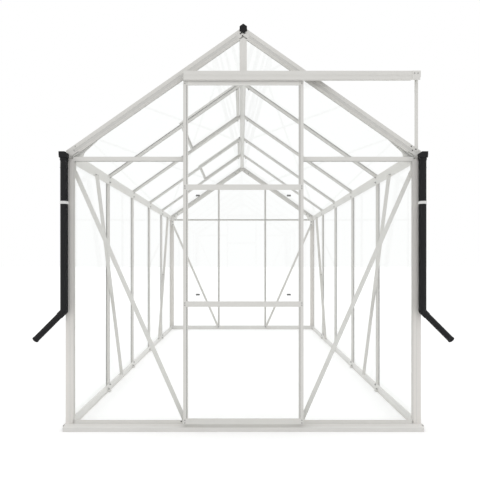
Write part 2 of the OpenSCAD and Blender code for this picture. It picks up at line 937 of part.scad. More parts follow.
// Front ends: a hopper over each downpipe. Back ends: plain plates
module gutter_end_caps() {
    color(black_plastic) framed() for (flip = [0, 1]) mirror([flip, 0, 0]) {
        difference() {
            union() {
                gutter_plate();
                hopper_shape(0, hopper_top, -cap_t);
            }
            translate([0, 0, hopper_w]) hopper_shape(hopper_w, hopper_top + 1, cap_t + 1);
            translate([pipe_x, pipe_y, hopper_low - 1])
                cylinder(r = pipe_d / 2 - pipe_wall, h = hopper_w + 5);
        }
        back_to_front() gutter_plate();
    }
}

// ---- glass ------------------------------------------------------------------

module wall_glass() {
    for (i = [0:bays_long - 1]) on_wall()
        translate([grid_y(i) + glass_gap, bed, deck_h + bed])
            cube([bay - 2 * glass_gap, glass_t, trough_z - deck_h - 2 * bed]);
}

module left_wall_glass() {
    color(clear_glass) framed() left_hand() wall_glass();
}

module right_wall_glass() {
    color(clear_glass) framed() wall_glass();
}

module roof_glass(vented) {
    top = (ridge_side + 1) / cos(pitch);
    low = (half_w + roof_overrun) / cos(pitch);
    for (i = [0:bays_long - 1]) {
        is_vent = vented && len(search(i + 1, vent_bays)) > 0;
        from = is_vent ? vent_len - bar_w / 2 + glass_gap : top;
        on_slope() translate([grid_y(i) + glass_gap, bed, from])
            cube([bay - 2 * glass_gap, glass_t, low - from]);
    }
}

module left_roof_glass() {
    color(clear_glass) framed() left_hand() roof_glass(true);
}

module right_roof_glass() {
    color(clear_glass) framed() roof_glass(false);
}

// One upright strip of a gable's glass, between two bars and above low
module gable_pane(x0, x1, low, high) {
    edge_in = edge + glass_gap;
    intersection() {
        translate([0, cap_out - bed - glass_t, 0]) along_y(0, glass_t)
            gable_outline(edge_in, 0);
        translate([x0, 0, low]) cube([x1 - x0, corner_reach, high - low]);
    }
}

module front_gable_glass() {
    low = deck_h + cap_t + bed;
    x1 = half_w - edge - glass_gap;
    over_door = header_z + glass_gap;
    color(clear_glass) framed() for (flip = [0, 1]) mirror([flip, 0, 0]) {
        gable_pane(post_x + glass_gap, x1, low, front_rail_z - glass_gap);
        gable_pane(post_x + glass_gap, x1, front_rail_z + glass_gap, apex_h);
        gable_pane(glass_gap, post_x - glass_gap, over_door, apex_h);
    }
}

module rear_gable_glass() {
    low = deck_h + bed;
    x1 = half_w - edge - glass_gap;
    color(clear_glass) framed() back_to_front() {
        gable_pane(glass_gap - post_x, post_x - glass_gap, low, rear_rail_z - glass_gap);
        gable_pane(glass_gap - post_x, post_x - glass_gap, rear_rail_z + glass_gap,
            apex_h);
        for (flip = [0, 1]) mirror([flip, 0, 0]) {
            gable_pane(post_x + glass_gap, x1, low, rear_rail_z - glass_gap);
            gable_pane(post_x + glass_gap, x1, rear_rail_z + glass_gap, apex_h);
        }
    }
}

// ---- door ---------------------------------------------------------------------

// A box with two lips that hold a pane between them, drawn outward from x = 0
module door_profile(box) {
    difference() {
        translate([0, door_front]) square([box, door_t]);
        translate([corner_wall, door_front + corner_wall])
            square([box - 2 * corner_wall, door_t - 2 * corner_wall]);
    }
    for (y = [pane_front - lip_t, pane_back])
        translate([box - 0.5, y]) square([stile_lip + 0.5, lip_t]);
}

module door_stiles() {
    color(powder) framed() for (flip = [0, 1]) mirror([flip, 0, 0])
        translate([door_half, 0, door_z]) mirror([1, 0, 0])
            linear_extrude(door_top - door_z) door_profile(stile_box);
}

// A rail whose lips face up, down or both ways; the back lips are the shorter
module door_crossrail(z, up, down) {
    x = door_half - stile_box - stile_lip;
    box = door_rail - (up ? stile_lip : 0) - (down ? stile_lip : 0);
    low = z + (down ? stile_lip : 0);
    deep = door_t - 2 * rail_set;
    along_x(-x, x) {
        difference() {
            translate([door_front + rail_set, low]) square([deep, box]);
            translate([door_front + rail_set + corner_wall, low + corner_wall])
                square([deep - 2 * corner_wall, box - 2 * corner_wall]);
        }
        for (lip = [[pane_front - lip_t, stile_lip], [pane_back, stile_lip / 2]]) {
            if (up) translate([lip[0], low + box - 0.5]) square([lip_t, lip[1] + 0.5]);
            if (down) translate([lip[0], low - lip[1]]) square([lip_t, lip[1] + 0.5]);
        }
    }
}

module door_top_rail() {
    color(powder) framed() door_crossrail(door_top - door_rail, false, true);
}

module door_middle_rails() {
    color(powder) framed() {
        door_crossrail(low_rail_z, true, true);
        door_crossrail(high_rail_z, true, true);
    }
}

module door_bottom_rail() {
    color(powder) framed() door_crossrail(door_z, true, false);
}

module door_glass() {
    x = door_half - stile_box - 1;
    grip = stile_lip - 1;
    sills = [door_z, low_rail_z, high_rail_z];
    heads = [low_rail_z, high_rail_z, door_top - door_rail];
    color(clear_glass) framed() for (i = [0:2])
        translate([-x, door_pane_y - glass_t / 2, sills[i] + door_rail - grip])
            cube([2 * x, glass_t, heads[i] - sills[i] - door_rail + 2 * grip]);
}

// Four small pads near the corners of the middle pane
module door_clips() {
    clip = [21, 3, 9];
    from_edge = 78;
    above_rail = 65;
    below_rail = 30;
    face = door_pane_y - glass_t / 2;
    color(black_plastic) framed() for (s = [-1, 1])
        for (z = [low_rail_z + above_rail, high_rail_z - below_rail])
            translate([s * (door_half - from_edge) - clip[0] / 2, face - clip[1],
                z - clip[2] / 2]) cube(clip);
}

module at_rollers() {
    from_edge = 80;
    for (s = [-1, 1]) translate([s * (door_half - from_edge), 0, 0]) children();
}

// Plates on the top rail, each with the pin of a roller
module door_hangers() {
    plate_w = 30;
    plate_t = 3;
    plate_y = door_front + 4;
    over_pin = 5;
    pin_end = -strut_t - runner_t - pin_gap;
    color(powder) framed() at_rollers() {
        translate([-plate_w / 2, plate_y, door_top])
            cube([plate_w, plate_t, roller_z - door_top + over_pin]);
        translate([0, pin_end, roller_z]) rotate([90, 0, 0])
            cylinder(r = pin_r, h = pin_end - plate_y - 1);
    }
}

module door_rollers() {
    roller_w = 7;
    back = -strut_t - runner_t - pin_gap - 0.5;
    color(white_plastic) framed() at_rollers()
        translate([0, back, roller_z]) rotate([90, 0, 0]) difference() {
            cylinder(r = roller_r, h = roller_w);
            translate([0, 0, -1]) cylinder(r = pin_r + fit, h = roller_w + 2);
        }
}

front_sill();
rear_sill();
left_sill();
right_sill();
front_left_post();
front_right_post();
rear_left_post();
rear_right_post();
left_gutter();
right_gutter();
ridge_bar();
front_left_rafter();
front_right_rafter();
rear_left_rafter();
rear_right_rafter();
left_wall_bars();
right_wall_bars();
left_roof_bars();
right_roof_bars();
door_posts();
door_header();
header_hanger();
front_gable_rails();
rear_gable_bars();
rear_gable_rail();
front_braces();
rear_braces();
left_wall_braces();
right_wall_braces();
eave_gussets();
apex_gussets();
ridge_caps();
door_runner();
runner_strut();
front_vent();
rear_vent();
vent_transoms();
vent_glass();
left_downpipe();
right_downpipe();
pipe_clips();
gutter_end_caps();
anchor_tabs();
left_wall_glass();
right_wall_glass();
left_roof_glass();
right_roof_glass();
front_gable_glass();
rear_gable_glass();
door_stiles();
door_top_rail();
door_middle_rails();
door_bottom_rail();
door_glass();
door_clips();
door_hangers();
door_rollers();
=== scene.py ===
"""Glasshouse: finishes, fastenings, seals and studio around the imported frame."""

import json
import math

import bmesh
import bpy
from mathutils import Matrix, Vector


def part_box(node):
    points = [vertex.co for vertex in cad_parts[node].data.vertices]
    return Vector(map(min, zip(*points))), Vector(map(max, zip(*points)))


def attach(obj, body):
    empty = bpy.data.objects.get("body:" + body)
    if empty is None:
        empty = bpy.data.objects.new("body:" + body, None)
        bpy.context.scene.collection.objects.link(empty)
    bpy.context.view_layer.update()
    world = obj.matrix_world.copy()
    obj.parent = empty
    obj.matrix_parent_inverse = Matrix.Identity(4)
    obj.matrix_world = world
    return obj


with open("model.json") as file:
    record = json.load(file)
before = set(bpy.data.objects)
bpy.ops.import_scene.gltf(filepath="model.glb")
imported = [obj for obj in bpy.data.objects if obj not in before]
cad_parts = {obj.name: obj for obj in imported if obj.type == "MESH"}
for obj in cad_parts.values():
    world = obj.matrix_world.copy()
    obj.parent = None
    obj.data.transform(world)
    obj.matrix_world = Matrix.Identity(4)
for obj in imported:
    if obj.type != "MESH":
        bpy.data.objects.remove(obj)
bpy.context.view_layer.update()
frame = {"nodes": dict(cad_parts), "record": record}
NODES = frame["nodes"]

# ---- sizes of the house, in metres ------------------------------------------
# The grid: x across the gable, y back from its outer face, z up from the ground.
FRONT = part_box("front_right_post")[0].y
HALF_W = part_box("front_right_post")[1].x
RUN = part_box("rear_right_post")[1].y - FRONT
EDGE = 0.029  # from a gable's outer face to the nearest grid line
BAYS = 5
BAY = (RUN - 2 * EDGE) / BAYS
POST_X = BAY / 2  # the door posts stand half a bay from the middle
SIDES = (-1, 1)
# The roof: its outer line starts at the eave and meets over the ridge.
EAVE = 1.505
PITCH = math.radians(35)
SLOPE_OUT = Vector((math.sin(PITCH), 0, math.cos(PITCH)))
CAP_OUT = 0.0066  # from the glass seat to the bars' caps
APEX = EAVE + HALF_W * math.tan(PITCH)
SEAT_APEX = APEX - CAP_OUT / math.cos(PITCH)
SLOPE_LEN = HALF_W / math.cos(PITCH)
# The sections: depths behind their outer face, and the caps' half width.
BAR_BACK = 0.0206
INNER_FACE = 0.0231
WALL_IN = HALF_W - INNER_FACE
GLASS_OUT = 0.0043  # from the glass seat to the pane's outer face
CAP_HALF = 0.011
CAP_EDGE = CAP_HALF + 0.001  # where a seal runs beside a cap
REACH = 0.048  # how far a corner post or a rafter reaches in
# Heights of the sill's top, the gutter's underside and the rails.
DECK = 0.028
TROUGH = 1.462
HEADER_Z = 1.8895
FRONT_RAIL_Z = 1.462
REAR_RAIL_Z = 1.464
BAR_FOOT_Z = 0.0385  # bolts through the bars' feet
# The vents: how far they reach down the slope, and their bays, counted from the front.
VENT_LEN = 0.535
VENT_BAYS = (2, 4)
# The door and its runner.
DOOR_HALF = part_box("door_stiles")[1].x
DOOR_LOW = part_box("door_stiles")[0].z
DOOR_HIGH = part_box("door_stiles")[1].z
DOOR_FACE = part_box("door_stiles")[0].y - FRONT
DOOR_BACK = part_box("door_stiles")[1].y - FRONT
DOOR_RAILS = (0.6795, 1.3025)  # heights of the two middle rails
DOOR_CLIPS = (0.730, 1.258)  # heights of the clips
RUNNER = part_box("door_runner")
RUNNER_FACE = RUNNER[0].y - FRONT
# The downpipes: where the right one stands, and its radius.
PIPE_X = HALF_W - 0.005
PIPE_Y = -0.0285
PIPE_R = 0.0195

UP, DOWN = Vector((0, 0, 1)), Vector((0, 0, -1))
FORWARD, BACK = Vector((0, -1, 0)), Vector((0, 1, 0))
GABLES = ((0.0, FORWARD), (RUN, BACK))  # each gable's outer face and the way it looks


def grid_y(i):
    """Distance of grid line i from the front gable's outer face."""
    return EDGE + i * BAY


def at(x, y, z):
    """A point, with y counted back from the front gable's outer face."""
    return Vector((x, FRONT + y, z))


def on_slope(side, y, down, out):
    """Point of a roof slope: down the slope from the ridge, out from the glass seat."""
    x = out * math.sin(PITCH) + down * math.cos(PITCH)
    return at(side * x, y, SEAT_APEX + out * math.cos(PITCH) - down * math.sin(PITCH))


def under_roof(x, inward):
    """Height of the line that lies inward from the roof's outer face."""
    return APEX - abs(x) * math.tan(PITCH) - inward / math.cos(PITCH)


# ---- how the pieces are modelled ------------------------------------------------
def only(piece):
    """Makes the piece the one selected and active object."""
    bpy.ops.object.select_all(action="DESELECT")
    piece.select_set(True)
    bpy.context.view_layer.objects.active = piece
    return piece


def pick(piece, kind, test):
    """Selects the faces, edges or corners that pass the test, in edit mode."""
    bpy.ops.mesh.select_mode(type=kind)
    bpy.ops.mesh.select_all(action="DESELECT")
    mesh = bmesh.from_edit_mesh(piece.data)
    items = {"VERT": mesh.verts, "EDGE": mesh.edges, "FACE": mesh.faces}[kind]
    for item in items:
        item.select_set(test(item))
    mesh.select_flush_mode()
    bmesh.update_edit_mesh(piece.data)


def facing(direction, least=0.9):
    """A test for faces that look this way."""
    return lambda face: face.normal.dot(direction) > least


def settle(piece, place, out, along=None):
    """Turns a piece built on the ground so its top faces out, and leaves its place in its mesh."""
    out = out.normalized()
    if along is None:
        along = UP if abs(out.z) < 0.9 else BACK
    across = out.cross(along).normalized()
    along = across.cross(out).normalized()
    turn = Matrix((along, across, out)).transposed().to_4x4()
    only(piece)
    piece.matrix_world = Matrix.Translation(place) @ turn
    bpy.ops.object.transform_apply(location=True, rotation=True, scale=True)
    return piece


def copies(master, spots):
    """A copy of the master at each spot, which is a place and the way it faces."""
    made = []
    for place, out in spots:
        twin = master.copy()
        twin.data = master.data.copy()
        bpy.context.scene.collection.objects.link(twin)
        made.append(settle(twin, place, out))
    return made


def gather(name, parts, material, body="house"):
    """Joins the parts to one piece that rides on a body."""
    bpy.ops.object.select_all(action="DESELECT")
    for part in parts:
        part.select_set(True)
    bpy.context.view_layer.objects.active = parts[0]
    if len(parts) > 1:
        bpy.ops.object.join()
    piece = bpy.context.view_layer.objects.active
    piece.name = name
    piece.data.name = name
    piece.data.materials.clear()
    piece.data.materials.append(material)
    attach(piece, body)
    return piece


def shelve(master):
    """Takes away a piece that was only there to be copied."""
    bpy.data.objects.remove(master)


def chamfered_bar(length, width, height, crown):
    """A bar lying along x with a raised and narrowed top."""
    bpy.ops.mesh.primitive_cube_add(size=1, location=(0, 0, 0.5))
    bar = bpy.context.object
    bar.scale = (length, width, height)
    bpy.ops.object.transform_apply(location=False, rotation=False, scale=True)
    bar.location = (0, 0, height / 2)
    bpy.ops.object.transform_apply(location=True, rotation=False, scale=False)
    bpy.ops.object.mode_set(mode="EDIT")
    pick(bar, "FACE", facing(UP))
    bpy.ops.mesh.inset(thickness=crown)
    bpy.ops.transform.translate(value=(0, 0, crown))
    bpy.ops.object.mode_set(mode="OBJECT")
    return bar


def strip(start, end, out, width, height, crown=None):
    """A long bead or seal on a surface, from start to end, with its narrowed top out."""
    crown = min(width, height) * 0.3 if crown is None else crown
    bar = chamfered_bar((end - start).length, width, height - crown, crown)
    return settle(bar, (start + end) / 2, out, end - start)


def rod(start, end, radius, corners=16, chamfer=0.25):
    """A round bar with chamfered ends; the chamfer is a share of the radius."""
    length = (end - start).length
    bpy.ops.mesh.primitive_cylinder_add(vertices=corners, radius=radius, depth=length,
                                        location=(0, 0, length / 2))
    bar = bpy.context.object
    bpy.ops.object.transform_apply(location=True, rotation=False, scale=False)
    bpy.ops.object.mode_set(mode="EDIT")
    for way in (UP, DOWN):
        pick(bar, "FACE", facing(way))
        bpy.ops.mesh.inset(thickness=radius * chamfer)
        bpy.ops.transform.translate(value=way * radius * chamfer * 0.8)
    bpy.ops.object.mode_set(mode="OBJECT")
    smooth(bar)
    return settle(bar, start, end - start)


def smooth(piece, angle=40):
    """Shades the piece smooth, apart from edges sharper than the angle in degrees."""
    only(piece)
    bpy.ops.object.shade_smooth_by_angle(angle=math.radians(angle))
    return piece


def ring(place, axis, inner, outer, height, corners=32, lip=0.0008):
    """A collar with chamfered rims round an axis, standing on its place."""
    bpy.ops.mesh.primitive_cylinder_add(vertices=corners, radius=outer, depth=height,
                                        location=(0, 0, height / 2))
    collar = bpy.context.object
    bpy.ops.object.transform_apply(location=True, rotation=False, scale=False)
    bpy.ops.object.mode_set(mode="EDIT")
    # The rim of each end, then the hole, which the bridge lines from end to end.
    pick(collar, "FACE", lambda face: abs(face.normal.z) > 0.9)
    bpy.ops.mesh.inset(thickness=lip)
    pick(collar, "FACE", lambda face: abs(face.normal.z) > 0.9 and len(face.verts) == corners)
    bpy.ops.mesh.inset(thickness=(outer - inner) * math.cos(math.pi / corners) - lip)
    bpy.ops.mesh.delete(type="ONLY_FACE")
    pick(collar, "EDGE", lambda edge: edge.is_boundary)
    bpy.ops.mesh.bridge_edge_loops()
    # The outer corners of both ends move in by the lip, which makes the chamfer.
    for end in (1, -1):
        pick(collar, "VERT", lambda v: abs(v.co.xy.length - outer) < 1e-5
             and (v.co.z - height / 2) * end > 0)
        bpy.ops.transform.translate(value=(0, 0, -end * lip))
    bpy.ops.object.mode_set(mode="OBJECT")
    smooth(collar)
    return settle(collar, place, axis)


def topped_disc(corners, radius, depth, middle, inset, rise):
    """A low disc or prism round z, its middle at this height, with a chamfered top."""
    bpy.ops.mesh.primitive_cylinder_add(vertices=corners, radius=radius, depth=depth,
                                        location=(0, 0, middle))
    disc = bpy.context.object
    bpy.ops.object.mode_set(mode="EDIT")
    pick(disc, "FACE", facing(UP))
    bpy.ops.mesh.inset(thickness=inset)
    bpy.ops.transform.translate(value=(0, 0, rise))
    bpy.ops.object.mode_set(mode="OBJECT")
    return disc


def nut_on_bolt():
    """Washer, six-sided nut and the bolt's end, standing on the ground."""
    washer = topped_disc(corners=14, radius=0.007, depth=0.0012, middle=0.0006,
                         inset=0.0005, rise=0.0003)
    nut = topped_disc(corners=6, radius=0.0056, depth=0.0036, middle=0.0033,
                      inset=0.0008, rise=0.0006)
    end = topped_disc(corners=10, radius=0.003, depth=0.0046, middle=0.0065,
                      inset=0.0007, rise=0.0006)
    for part in (washer, nut, end):
        part.select_set(True)
    bpy.context.view_layer.objects.active = washer
    bpy.ops.object.join()
    bpy.ops.object.transform_apply(location=True, rotation=False, scale=False)
    return washer


def pan_screw(radius=0.0035):
    """A rounded screw head with a round socket; its steps are shares of the radius."""
    bpy.ops.mesh.primitive_cylinder_add(vertices=14, radius=radius, depth=radius * 0.35,
                                        location=(0, 0, radius * 0.175))
    head = bpy.context.object
    bpy.ops.object.transform_apply(location=True, rotation=False, scale=False)
    bpy.ops.object.mode_set(mode="EDIT")
    pick(head, "FACE", facing(UP))
    # Two steps up the rounded edge, one across the flat and one down the socket.
    for step, rise in ((0.16, 0.18), (0.24, 0.1), (0.25, 0), (0.04, -0.3)):
        bpy.ops.mesh.inset(thickness=radius * step)
        if rise:
            bpy.ops.transform.translate(value=(0, 0, radius * rise))
    bpy.ops.object.mode_set(mode="OBJECT")
    return smooth(head, 50)


# ---- finishes --------------------------------------------------------------------
# Sockets of a Mix node that mixes colours.
MIX_SHARE, MIX_A, MIX_B, MIX_RESULT = 0, 6, 7, 2
DUST_COLOUR = (0.52, 0.49, 0.44, 1.0)
WHITE = (1.0, 1.0, 1.0, 1.0)


def group(name, inputs, outputs):
    """An empty node group with these numbers as its sockets."""
    tree = bpy.data.node_groups.new(name, "ShaderNodeTree")
    for label, value in inputs:
        socket = tree.interface.new_socket(label, in_out="INPUT", socket_type="NodeSocketFloat")
        socket.default_value = value
    for label in outputs:
        tree.interface.new_socket(label, in_out="OUTPUT", socket_type="NodeSocketFloat")
    return tree, tree.nodes.new("NodeGroupInput"), tree.nodes.new("NodeGroupOutput")


def math_node(tree, operation, a, b=None, c=None, clamp=False):
    """A Math node on numbers or sockets; gives its output."""
    node = tree.nodes.new("ShaderNodeMath")
    node.operation = operation
    node.use_clamp = clamp
    for socket, value in zip(node.inputs, (a, b, c)):
        if value is None:
            continue
        if isinstance(value, (int, float)):
            socket.default_value = value
        else:
            tree.links.new(value, socket)
    return node.outputs[0]


def noise(tree, coordinates, scale, detail, roughness=0.5):
    """Cloudy values from 0 to 1, with the scale from a socket."""
    node = tree.nodes.new("ShaderNodeTexNoise")
    node.inputs["Detail"].default_value = detail
    node.inputs["Roughness"].default_value = roughness
    tree.links.new(coordinates, node.inputs["Vector"])
    tree.links.new(scale, node.inputs["Scale"])
    return node.outputs[0]


def surface_texture():
    """Cloudy tone, patchy gloss and a fine grain, for coated, moulded and plated faces."""
    tree, given, result = group("surface_texture", (
        ("Patch Scale", 4.0), ("Grain Scale", 900.0), ("Tone", 0.03), ("Gloss", 0.05),
        ("Roughness", 0.4)), ("Shade", "Roughness", "Height"))
    place = tree.nodes.new("ShaderNodeTexCoord").outputs["Object"]
    patch = noise(tree, place, given.outputs["Patch Scale"], 3.0)
    grain = noise(tree, place, given.outputs["Grain Scale"], 1.0)
    cloud = math_node(tree, "SUBTRACT", patch, 0.5)
    fleck = math_node(tree, "MULTIPLY", math_node(tree, "SUBTRACT", grain, 0.5), 0.5)
    both = math_node(tree, "ADD", cloud, fleck)
    shade = math_node(tree, "MULTIPLY_ADD", both, given.outputs["Tone"], 1.0)
    rough = math_node(tree, "MULTIPLY_ADD", cloud, given.outputs["Gloss"],
                      given.outputs["Roughness"], clamp=True)
    tree.links.new(shade, result.inputs["Shade"])
    tree.links.new(rough, result.inputs["Roughness"])
    tree.links.new(grain, result.inputs["Height"])
    return tree


def settled_dust():
    """How much fine dust lies on a face: more low down and on what faces up."""
    tree, given, result = group("settled_dust", (
        ("Height", 0.2), ("Amount", 0.3), ("Scale", 14.0)), ("Dust",))
    place = tree.nodes.new("ShaderNodeTexCoord").outputs["Object"]
    apart = tree.nodes.new("ShaderNodeSeparateXYZ")
    tree.links.new(place, apart.inputs[0])
    normal = tree.nodes.new("ShaderNodeNewGeometry").outputs["Normal"]
    way = tree.nodes.new("ShaderNodeSeparateXYZ")
    tree.links.new(normal, way.inputs[0])
    high = math_node(tree, "DIVIDE", apart.outputs["Z"], given.outputs["Height"])
    low = math_node(tree, "SUBTRACT", 1.0, high, clamp=True)
    up = math_node(tree, "MULTIPLY", way.outputs["Z"], 0.5, clamp=True)
    where = math_node(tree, "MAXIMUM", low, up)
    cloud = noise(tree, place, given.outputs["Scale"], 4.0, 0.6)
    drift = math_node(tree, "MULTIPLY", where, cloud)
    dust = math_node(tree, "MULTIPLY", drift, given.outputs["Amount"], clamp=True)
    tree.links.new(dust, result.inputs["Dust"])
    return tree


SURFACE = surface_texture()
DUST = settled_dust()


def use_group(tree, made, **values):
    """Places a node group; a name's underscores stand for the spaces in its sockets."""
    node = tree.nodes.new("ShaderNodeGroup")
    node.node_tree = made
    for label, value in values.items():
        node.inputs[label.replace("_", " ")].default_value = value
    return node


def finish(name, colour, roughness, *, tone, gloss, patch, grain, bump, depth=0.0001,
           metallic=0.0, specular=0.5, dust=0.0):
    """An opaque finish: base colour, cloudy tone and gloss, grain and settled dust."""
    mat = bpy.data.materials.new(name)
    mat.use_nodes = True
    tree = mat.node_tree
    shader = tree.nodes["Principled BSDF"]
    texture = use_group(tree, SURFACE, Patch_Scale=patch, Grain_Scale=grain, Tone=tone,
                        Gloss=gloss, Roughness=roughness)
    tint = tree.nodes.new("ShaderNodeMix")
    tint.data_type = "RGBA"
    tint.blend_type = "MULTIPLY"
    tint.inputs[MIX_SHARE].default_value = 1.0
    tint.inputs[MIX_A].default_value = (*colour, 1.0)
    grey = tree.nodes.new("ShaderNodeCombineColor")
    for socket in grey.inputs[:3]:
        tree.links.new(texture.outputs["Shade"], socket)
    tree.links.new(grey.outputs[0], tint.inputs[MIX_B])
    base = tint.outputs[MIX_RESULT]
    if dust:
        amount = use_group(tree, DUST, Amount=dust)
        cover = tree.nodes.new("ShaderNodeMix")
        cover.data_type = "RGBA"
        cover.inputs[MIX_B].default_value = DUST_COLOUR
        tree.links.new(amount.outputs["Dust"], cover.inputs[MIX_SHARE])
        tree.links.new(base, cover.inputs[MIX_A])
        base = cover.outputs[MIX_RESULT]
    tree.links.new(base, shader.inputs["Base Color"])
    tree.links.new(texture.outputs["Roughness"], shader.inputs["Roughness"])
    relief = tree.nodes.new("ShaderNodeBump")
    relief.inputs["Strength"].default_value = bump
    relief.inputs["Distance"].default_value = depth
    tree.links.new(texture.outputs["Height"], relief.inputs["Height"])
    tree.links.new(relief.outputs[0], shader.inputs["Normal"])
    shader.inputs["Metallic"].default_value = metallic
    shader.inputs["Specular IOR Level"].default_value = specular
    return mat


def clear_glass():
    """Clear toughened glass: it lets the light through and mirrors a little at a flat angle."""
    mat = bpy.data.materials.new("clear_glass")
    mat.use_nodes = True
    tree = mat.node_tree
    shader = tree.nodes["Principled BSDF"]
    shader.inputs["Base Color"].default_value = WHITE
    shader.inputs["Roughness"].default_value = 0.02
    shader.inputs["Metallic"].default_value = 1.0
    clear = tree.nodes.new("ShaderNodeBsdfTransparent")
    clear.inputs["Color"].default_value = (0.997, 1.0, 0.9985, 1.0)
    flatness = tree.nodes.new("ShaderNodeLayerWeight")
    flatness.inputs["Blend"].default_value = 0.05
    mix = tree.nodes.new("ShaderNodeMixShader")
    head_on, more_when_flat = 0.03, 0.2
    share = math_node(tree, "MULTIPLY_ADD", flatness.outputs["Facing"], more_when_flat, head_on)
    tree.links.new(share, mix.inputs[0])
    tree.links.new(clear.outputs[0], mix.inputs[1])
    tree.links.new(shader.outputs[0], mix.inputs[2])
    tree.links.new(mix.outputs[0], tree.nodes["Material Output"].inputs[0])
    return mat


# The coat is one cream-grey. The copies below are that coat painted a little lighter or darker by
# where it stands on the frame: painted light where shade falls on a piece, painted shade where a
# piece should look shaded.
COATED = dict(tone=0.07, gloss=0.12, patch=5.0, grain=1100.0, bump=0.12, depth=0.00012,
              specular=0.4, dust=0.05)
powder_coat = finish("powder_coated_aluminium", (0.745, 0.735, 0.705), 0.46, **COATED)
# Posts: painted light, a lighter copy of the coat that cancels the shade the downpipes cast on
# them.
post_coat_painted_light = finish("powder_coated_post_painted_light", (0.80, 0.778, 0.745), 0.46, **COATED)
# Wall and roof bars, vents, transoms and the rear rail: painted light, a lighter copy of the coat
# that cancels the shade in the bars' recesses.
bar_coat_painted_light = finish("powder_coated_bar_painted_light", (0.77, 0.76, 0.73), 0.46, **COATED)
# Door top rail and eave gussets: painted light, the lightest copy of the coat, which cancels the
# shade under the runner and beside the rafters.
sheltered_coat_painted_light = finish("powder_coated_sheltered_painted_light", (0.84, 0.83, 0.80), 0.46, **COATED)
# Gable rafters: painted shade, a darker copy of the coat.
rafter_coat_painted_shade = finish("powder_coated_rafter_painted_shade", (0.725, 0.715, 0.685), 0.46, **COATED)
# Sills and their ribs: painted light, a lighter copy of the coat that cancels the shade on the
# sills' tops.
sill_coat_painted_light = finish("powder_coated_sill_painted_light", (0.79, 0.78, 0.755), 0.42, **COATED)
# Gable beads and the seal beside the door bars: painted shade, a darker copy of the coat.
bead_coat_painted_shade = finish("glazing_bead_coat_painted_shade", (0.70, 0.69, 0.66), 0.5, **COATED)

# Plastics: a coarse matt one for the pipes, a fine one for the clips.
black_plastic = finish("black_pipe_plastic", (0.0175, 0.0175, 0.0185), 0.58, tone=0.25,
                       gloss=0.15, patch=9.0, grain=700.0, bump=0.15, depth=0.0002,
                       specular=0.13)
CLIP = dict(gloss=0.1, patch=30.0, grain=900.0, bump=0.1)
grey_plastic = finish("grey_clip_plastic", (0.2, 0.2, 0.198), 0.5, tone=0.1, specular=0.3,
                      **CLIP)
white_plastic = finish("white_clip_plastic", (0.72, 0.72, 0.71), 0.42, tone=0.05, **CLIP)

# Fastenings.
STEEL = dict(tone=0.3, grain=2500.0, bump=0.2, depth=0.00005)
zinc = finish("zinc_plated_steel", (0.42, 0.42, 0.41), 0.38, metallic=0.85, gloss=0.25,
              patch=180.0, **STEEL)
dark_steel = finish("dark_screw_steel", (0.07, 0.068, 0.065), 0.4, metallic=0.6, gloss=0.2,
                    patch=200.0, **STEEL)

# Seals, a thin strip of painted shade along the rafters, and the door's brushes.
SEAL = dict(tone=0.1, gloss=0.1, patch=20.0, grain=1500.0, bump=0.15, specular=0.3)
# Grey glazing seals, their grey made lighter as painted light against the shade beside the bars'
# caps.
grey_seal_painted_light = finish("grey_glazing_seal_painted_light", (0.6, 0.6, 0.58), 0.6, **SEAL)
# A thin strip a little darker than the coat: painted shade for the recessed band along the
# rafters.
rafter_band_shade = finish("rafter_band_painted_shade", (0.63, 0.624, 0.60), 0.6, **SEAL)
# Dark material for the door's brush seals and for the thin dark lines of painted shade beside the
# door's panes.
dark_brush_and_painted_shade = finish("dark_brush_seal_and_painted_shade", (0.05, 0.05, 0.05), 0.9, tone=0.6, gloss=0.1,
                    patch=400.0, grain=3000.0, bump=0.6, depth=0.0004, specular=0.1)

SLOT = {"frame": powder_coat, "black_plastic": black_plastic, "white_plastic": white_plastic,
        "glass": clear_glass()}


def finish_for(node, slot):
    """The finish of a CAD node: its slot's, or the coat for where it stands, painted lighter or
    darker there as painted light and shade.
    """
    if node == "door_clips":
        return grey_plastic
    if node in ("door_top_rail", "eave_gussets"):
        return sheltered_coat_painted_light
    if node.endswith("_sill"):
        return sill_coat_painted_light
    if node.endswith(("left_post", "right_post")):
        return post_coat_painted_light
    if node.endswith("_rafter"):
        return rafter_coat_painted_shade
    if node.endswith(("_bars", "_vent", "ridge_bar", "vent_transoms", "rear_gable_rail")):
        return bar_coat_painted_light
    return SLOT[slot]


for part in frame["record"]["subparts"]:
    mesh = NODES[part["node"]].data
    mesh.materials.clear()
    mesh.materials.append(finish_for(part["node"], part["material_slot"]))


# ---- bolts and nuts -------------------------------------------------------------
def wall_nut_spots():
    """Inside the side walls: at each bar's foot, at its head and under each roof bar."""
    gutter_bolts = (1.464, 1.4995)
    tab_face, tab_beside, tab_z = WALL_IN - 0.003, 0.035, 0.0185
    brace_face, head_z, middle_z, foot_z = WALL_IN - 0.002, 1.4585, 0.7508, 0.043
    brace_bays = ((0.563, 1.4), (4.437, 3.6))  # head and foot of each, from the front
    spots = []
    for side in SIDES:
        inward = Vector((-side, 0, 0))
        for i in range(1, BAYS):
            for z in (BAR_FOOT_Z, *gutter_bolts):
                spots.append((at(side * WALL_IN, grid_y(i), z), inward))
            spots.append((at(side * tab_face, grid_y(i) - tab_beside, tab_z), inward))
            under_bar = on_slope(side, grid_y(i), down=0.062, out=-0.014)
            spots.append((under_bar, Vector((-side * SLOPE_OUT.x, 0, -SLOPE_OUT.z))))
        for head, foot in brace_bays:
            for bays, z in ((head, head_z), (foot, foot_z), ((head + foot) / 2, middle_z)):
                spots.append((at(side * brace_face, grid_y(bays), z), inward))
    return spots


